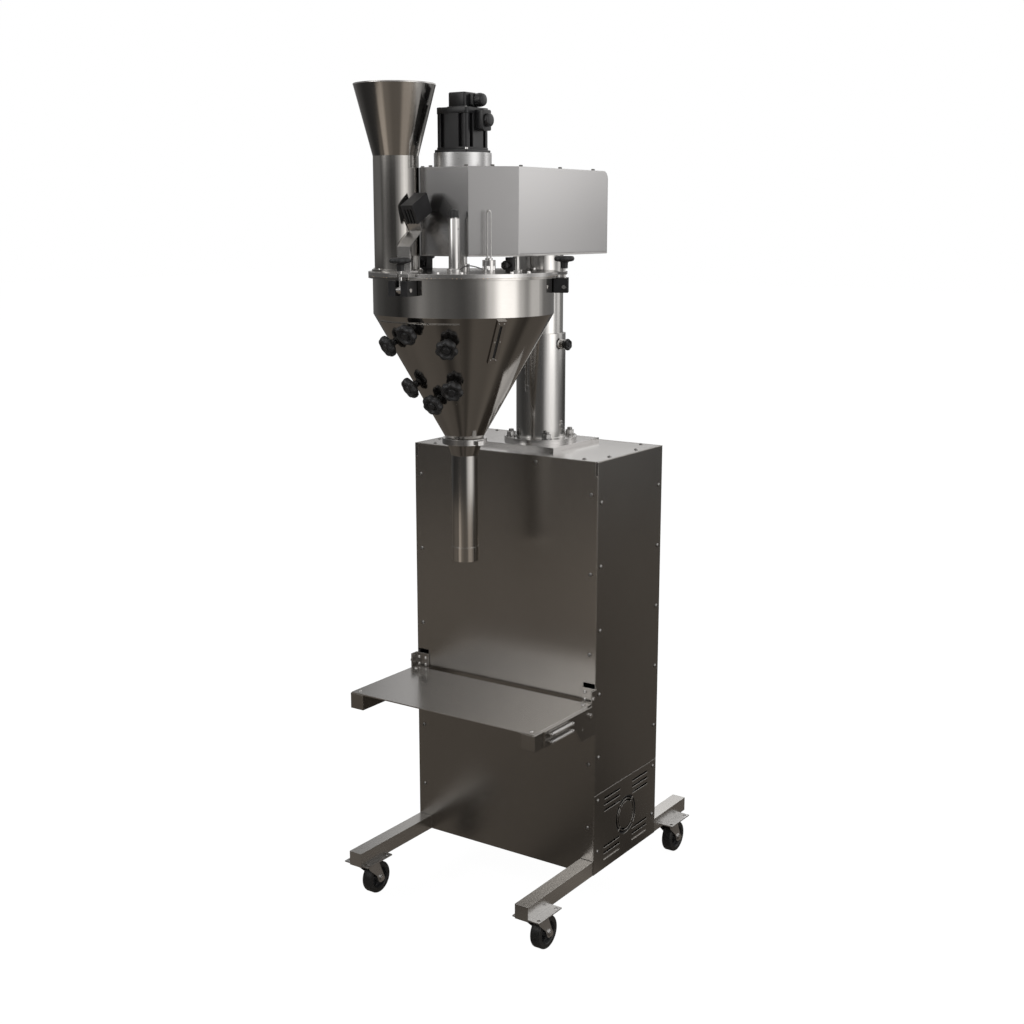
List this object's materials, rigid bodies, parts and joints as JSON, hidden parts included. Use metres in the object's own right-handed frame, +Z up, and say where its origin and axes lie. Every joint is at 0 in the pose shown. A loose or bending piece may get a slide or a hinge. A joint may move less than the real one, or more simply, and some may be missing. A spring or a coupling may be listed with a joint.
{
  "type": "powder filling machine",
  "caption": "semi-automatic auger filler: hopper, feed funnel and servo head on a telescoping column over a cabinet on swivel casters, with a shelf under the spout",
  "frame": {"origin": "on the floor, under the middle of the machine's own box", "axes": "+Z up, +X to the machine's right seen from the front, -Y towards the operator"},
  "size_m": [0.548, 0.8364, 1.852],
  "materials": {
    "dark_steel": "fine brushed, dark reflections",
    "satin_steel": "satin brushed stainless",
    "frame_steel": "plain stainless",
    "polished_steel": "polished stainless",
    "machined_steel": "turned stainless",
    "screw_steel": "bright stainless",
    "zinc_steel": "bright zinc plate",
    "cast_aluminium": "machined casting",
    "black_paint": "satin black",
    "black_plastic": "matte black",
    "drive_plastic": "matte grey",
    "wheel_rubber": "smooth black tread"
  },
  "bodies": {
    "cabinet": {"base_frame": "satin_steel", "inner_frame": "frame_steel", "front_panel": "dark_steel", "back_panel": "dark_steel", "left_panel": "dark_steel", "right_panel": "dark_steel", "vent_panel": "dark_steel", "top_plate": "dark_steel", "base_fasteners": "screw_steel", "fan_frame": "black_plastic", "electrical_plate": "drive_plastic", "column_base": "machined_steel", "outer_column": "polished_steel", "shelf_plate": "satin_steel", "shelf_arms": "satin_steel", "shelf_springs": "screw_steel", "caster_plates": "zinc_steel"},
    "head": {"inner_column": "polished_steel", "head_base": "satin_steel", "head_cover": "satin_steel", "head_screws": "screw_steel", "drive_housing": "cast_aluminium", "servo_motor": "black_paint", "lid": "machined_steel", "lid_posts": "machined_steel", "feed_funnel": "polished_steel", "level_tube": "machined_steel", "probe": "machined_steel", "sensor_bracket": "satin_steel", "sensor_box": "black_plastic", "bowl": "polished_steel", "hatch": "polished_steel", "gauge": "machined_steel", "clamp_bases": "black_paint", "spout_ring": "machined_steel", "spout": "polished_steel"},
    "drive_line": {"auger": "machined_steel", "agitator": "satin_steel"},
    "fan_rotor": {"fan_rotor": "black_plastic"},
    "column_lock_knob": {"column_lock_knob": "black_plastic"},
    "hatch_knob_1": {"hatch_knob_1": "black_plastic"},
    "hatch_knob_2": {"hatch_knob_2": "black_plastic"},
    "hatch_knob_3": {"hatch_knob_3": "black_plastic"},
    "hatch_knob_4": {"hatch_knob_4": "black_plastic"},
    "hatch_knob_5": {"hatch_knob_5": "black_plastic"},
    "hatch_knob_6": {"hatch_knob_6": "black_plastic"},
    "swing_bolt_1": {"swing_bolt_1": "screw_steel"},
    "clamp_knob_1": {"clamp_knob_1": "black_plastic"},
    "swing_bolt_2": {"swing_bolt_2": "screw_steel"},
    "clamp_knob_2": {"clamp_knob_2": "black_plastic"},
    "swing_bolt_3": {"swing_bolt_3": "screw_steel"},
    "clamp_knob_3": {"clamp_knob_3": "black_plastic"},
    "caster_fork_fl": {"caster_fork_fl": "zinc_steel"},
    "caster_wheel_fl": {"caster_wheel_fl": "wheel_rubber"},
    "caster_fork_fr": {"caster_fork_fr": "zinc_steel"},
    "caster_wheel_fr": {"caster_wheel_fr": "wheel_rubber"},
    "caster_fork_rl": {"caster_fork_rl": "zinc_steel"},
    "caster_wheel_rl": {"caster_wheel_rl": "wheel_rubber"},
    "caster_fork_rr": {"caster_fork_rr": "zinc_steel"},
    "caster_wheel_rr": {"caster_wheel_rr": "wheel_rubber"}
  },
  "joints": [
    {"name": "head_lift", "type": "slide", "parent": "cabinet", "child": "head", "axis": [0, 0, 1], "range_m": [0, 0.11]},
    {"name": "auger_spin", "type": "hinge", "parent": "head", "child": "drive_line", "pos_m": [0, -0.18125, 1.47], "axis": [0, 0, 1], "continuous": true},
    {"name": "fan_spin", "type": "hinge", "parent": "cabinet", "child": "fan_rotor", "pos_m": [0.2375, 0.11175, 0.195], "axis": [1, 0, 0], "continuous": true},
    {"name": "lock_knob_turn", "type": "hinge", "parent": "cabinet", "child": "column_lock_knob", "pos_m": [0.065, 0.12075, 1.2965], "axis": [1, 0, 0], "continuous": true},
    {"name": "hatch_knob_1_turn", "type": "hinge", "parent": "head", "child": "hatch_knob_1", "pos_m": [-0.07606, -0.34437, 1.31916], "axis": [-0.368, -0.7891, -0.4918], "continuous": true},
    {"name": "hatch_knob_2_turn", "type": "hinge", "parent": "head", "child": "hatch_knob_2", "pos_m": [0, -0.37761, 1.34816], "axis": [0, -0.8707, -0.4918], "continuous": true},
    {"name": "hatch_knob_3_turn", "type": "hinge", "parent": "head", "child": "hatch_knob_3", "pos_m": [0.07606, -0.34437, 1.31916], "axis": [0.368, -0.7891, -0.4918], "continuous": true},
    {"name": "hatch_knob_4_turn", "type": "hinge", "parent": "head", "child": "hatch_knob_4", "pos_m": [0.05458, -0.2983, 1.22916], "axis": [0.368, -0.7891, -0.4918], "continuous": true},
    {"name": "hatch_knob_5_turn", "type": "hinge", "parent": "head", "child": "hatch_knob_5", "pos_m": [0, -0.29176, 1.19616], "axis": [0, -0.8707, -0.4918], "continuous": true},
    {"name": "hatch_knob_6_turn", "type": "hinge", "parent": "head", "child": "hatch_knob_6", "pos_m": [-0.05458, -0.2983, 1.22916], "axis": [-0.368, -0.7891, -0.4918], "continuous": true},
    {"name": "swing_bolt_1_swing", "type": "hinge", "parent": "head", "child": "swing_bolt_1", "pos_m": [0, -0.39525, 1.438], "axis": [1, 0, 0], "range_deg": [0, 90]},
    {"name": "clamp_knob_1_turn", "type": "hinge", "parent": "swing_bolt_1", "child": "clamp_knob_1", "pos_m": [0, -0.39525, 1.495], "axis": [0, 0, 1], "continuous": true},
    {"name": "swing_bolt_2_swing", "type": "hinge", "parent": "head", "child": "swing_bolt_2", "pos_m": [0.18533, -0.07425, 1.438], "axis": [-0.5, 0.866, 0], "range_deg": [0, 90]},
    {"name": "clamp_knob_2_turn", "type": "hinge", "parent": "swing_bolt_2", "child": "clamp_knob_2", "pos_m": [0.18533, -0.07425, 1.495], "axis": [0, 0, 1], "continuous": true},
    {"name": "swing_bolt_3_swing", "type": "hinge", "parent": "head", "child": "swing_bolt_3", "pos_m": [-0.18533, -0.07425, 1.438], "axis": [-0.5, -0.866, 0], "range_deg": [0, 90]},
    {"name": "clamp_knob_3_turn", "type": "hinge", "parent": "swing_bolt_3", "child": "clamp_knob_3", "pos_m": [-0.18533, -0.07425, 1.495], "axis": [0, 0, 1], "continuous": true},
    {"name": "swivel_fl", "type": "hinge", "parent": "cabinet", "child": "caster_fork_fl", "pos_m": [-0.239, -0.25125, 0.088], "axis": [0, 0, 1], "continuous": true},
    {"name": "wheel_fl", "type": "hinge", "parent": "caster_fork_fl", "child": "caster_wheel_fl", "pos_m": [-0.239, -0.22525, 0.038], "axis": [1, 0, 0], "continuous": true},
    {"name": "swivel_fr", "type": "hinge", "parent": "cabinet", "child": "caster_fork_fr", "pos_m": [0.239, -0.25125, 0.088], "axis": [0, 0, 1], "continuous": true},
    {"name": "wheel_fr", "type": "hinge", "parent": "caster_fork_fr", "child": "caster_wheel_fr", "pos_m": [0.239, -0.22525, 0.038], "axis": [1, 0, 0], "continuous": true},
    {"name": "swivel_rl", "type": "hinge", "parent": "cabinet", "child": "caster_fork_rl", "pos_m": [-0.239, 0.35325, 0.088], "axis": [0, 0, 1], "continuous": true},
    {"name": "wheel_rl", "type": "hinge", "parent": "caster_fork_rl", "child": "caster_wheel_rl", "pos_m": [-0.239, 0.37925, 0.038], "axis": [1, 0, 0], "continuous": true},
    {"name": "swivel_rr", "type": "hinge", "parent": "cabinet", "child": "caster_fork_rr", "pos_m": [0.239, 0.35325, 0.088], "axis": [0, 0, 1], "continuous": true},
    {"name": "wheel_rr", "type": "hinge", "parent": "caster_fork_rr", "child": "caster_wheel_rr", "pos_m": [0.239, 0.37925, 0.038], "axis": [1, 0, 0], "continuous": true}
  ]
}
